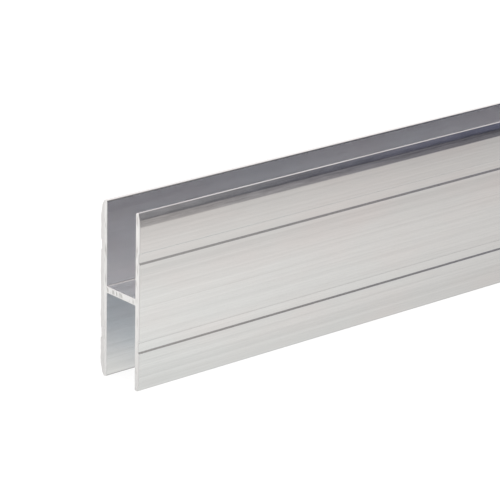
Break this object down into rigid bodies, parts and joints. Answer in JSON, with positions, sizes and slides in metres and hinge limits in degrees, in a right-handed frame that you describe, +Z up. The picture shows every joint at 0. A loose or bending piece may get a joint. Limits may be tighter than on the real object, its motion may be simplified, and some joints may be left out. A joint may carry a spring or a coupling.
{
  "type": "aluminium h-section extrusion profile",
  "caption": "Straight length of aluminium H-section with bevelled flange edges and shallow guide grooves, for joining two panels edge to edge.",
  "frame": {"origin": "middle of the footprint, on the floor between the lower flange edges", "axes": "+X along the length, +Y across the slots, +Z up along the flanges"},
  "size_m": [1, 0.0094, 0.03],
  "materials": {
    "aluminium": "mill finish with fine die lines along the length, ends as sawn"
  },
  "bodies": {
    "root": {"h_profile": "aluminium"}
  },
  "joints": []
}
